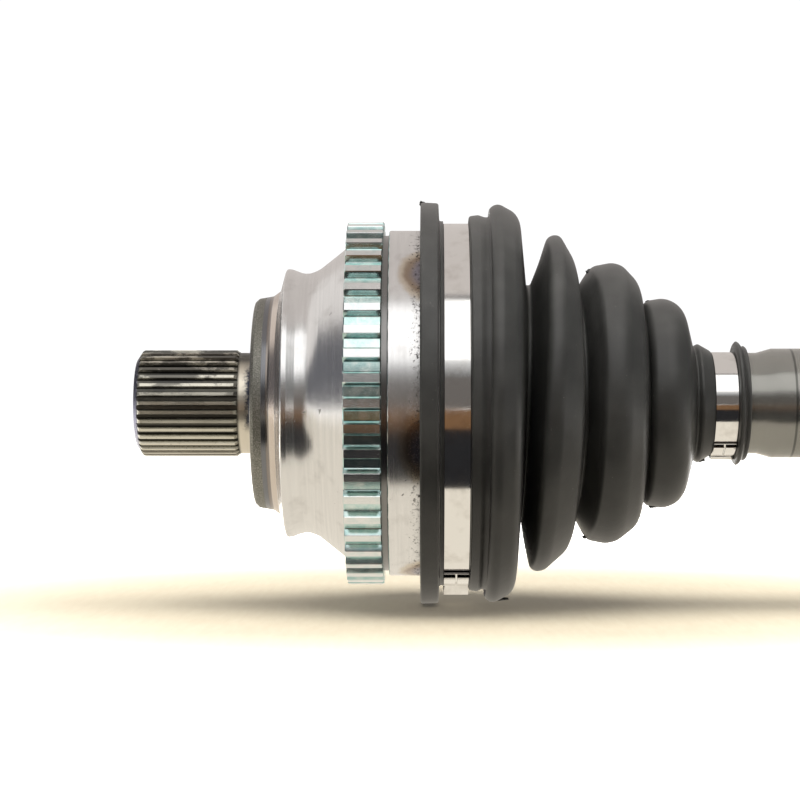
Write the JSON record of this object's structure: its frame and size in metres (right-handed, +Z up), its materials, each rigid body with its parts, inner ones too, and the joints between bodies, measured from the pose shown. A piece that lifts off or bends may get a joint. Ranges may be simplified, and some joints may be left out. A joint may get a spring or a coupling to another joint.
{
  "type": "drive axle",
  "caption": "Front drive axle with a splined stub and fixed ball joint at the wheel end, a tubular shaft, and a flanged plunging ball joint at the gearbox end, both under rubber boots.",
  "frame": {"origin": "centre of the collar face that the wheel bearing is clamped against", "axes": "+X along the axle from the wheel end to the gearbox end, +Z up, stub towards -X"},
  "size_m": [0.571, 0.1144, 0.1144],
  "materials": {
    "forged_steel": "turned and forged",
    "plated_ring": "zinc plated",
    "hard_steel": "ground and greased",
    "ball_steel": "polished",
    "spring_steel": "oiled spring steel",
    "nylon": "matte",
    "boot_rubber": "satin moulded",
    "clamp_steel": "bright stainless",
    "shaft_steel": "dark satin coating"
  },
  "bodies": {
    "shaft": {"shaft_tube": "shaft_steel", "outboard_shaft_end": "shaft_steel", "inboard_shaft_end": "shaft_steel", "outer_inner_race": "hard_steel", "outer_race_circlip": "spring_steel", "outer_dished_washer": "spring_steel", "outer_spacer_ring": "nylon", "outer_boot_clamp_small": "clamp_steel", "inner_inner_race": "hard_steel", "inner_race_circlip": "spring_steel", "inner_race_stop_ring": "spring_steel", "inner_boot_clamp_small": "clamp_steel"},
    "outer_upright_balls": {"outer_ball_1": "ball_steel", "outer_ball_4": "ball_steel"},
    "outer_cage_set": {"outer_cage": "hard_steel", "outer_ball_2": "ball_steel", "outer_ball_3": "ball_steel", "outer_ball_5": "ball_steel", "outer_ball_6": "ball_steel"},
    "wheel_end": {"outer_joint_housing": "forged_steel", "abs_tone_ring": "plated_ring", "outer_boot": "boot_rubber", "outer_boot_clamp_large": "clamp_steel"},
    "inner_upright_balls": {"inner_ball_1": "ball_steel", "inner_ball_4": "ball_steel"},
    "inner_cage_set": {"inner_cage": "hard_steel", "inner_ball_2": "ball_steel", "inner_ball_3": "ball_steel", "inner_ball_5": "ball_steel", "inner_ball_6": "ball_steel"},
    "inner_boot_set": {"inner_boot": "boot_rubber"},
    "gearbox_end": {"inner_joint_cup": "forged_steel", "inner_cup_retaining_ring": "spring_steel", "inner_boot_clamp_large": "clamp_steel"}
  },
  "joints": [
    {"name": "outer_joint_rise", "type": "hinge", "parent": "shaft", "child": "outer_upright_balls", "pos_m": [0.04, 0, 0], "axis": [0, 1, 0], "range_deg": [-8, 8]},
    {"name": "outer_joint_steer", "type": "hinge", "parent": "outer_upright_balls", "child": "outer_cage_set", "pos_m": [0.04, 0, 0], "axis": [0, 0, 1], "range_deg": [-15, 15]},
    {"name": "outer_joint_steer_bell", "type": "hinge", "parent": "outer_cage_set", "child": "wheel_end", "pos_m": [0.04, 0, 0], "axis": [0, 0, 1], "range_deg": [-15, 15], "deforming": ["outer_boot"]},
    {"name": "inner_joint_rise", "type": "hinge", "parent": "shaft", "child": "inner_upright_balls", "pos_m": [0.49, 0, 0], "axis": [0, 1, 0], "range_deg": [-6, 6]},
    {"name": "inner_joint_swing", "type": "hinge", "parent": "inner_upright_balls", "child": "inner_cage_set", "pos_m": [0.49, 0, 0], "axis": [0, 0, 1], "range_deg": [-4, 4]},
    {"name": "inner_joint_swing_cup", "type": "hinge", "parent": "inner_cage_set", "child": "inner_boot_set", "pos_m": [0.49, 0, 0], "axis": [0, 0, 1], "range_deg": [-4, 4]},
    {"name": "inner_joint_plunge", "type": "slide", "parent": "inner_boot_set", "child": "gearbox_end", "axis": [1, 0, 0], "range_m": [-0.012, 0.012], "deforming": ["inner_boot"]}
  ],
  "couplings": [
    {"joint": "outer_joint_steer_bell", "follows": "outer_joint_steer", "ratio": 1},
    {"joint": "inner_joint_swing_cup", "follows": "inner_joint_swing", "ratio": 1}
  ]
}
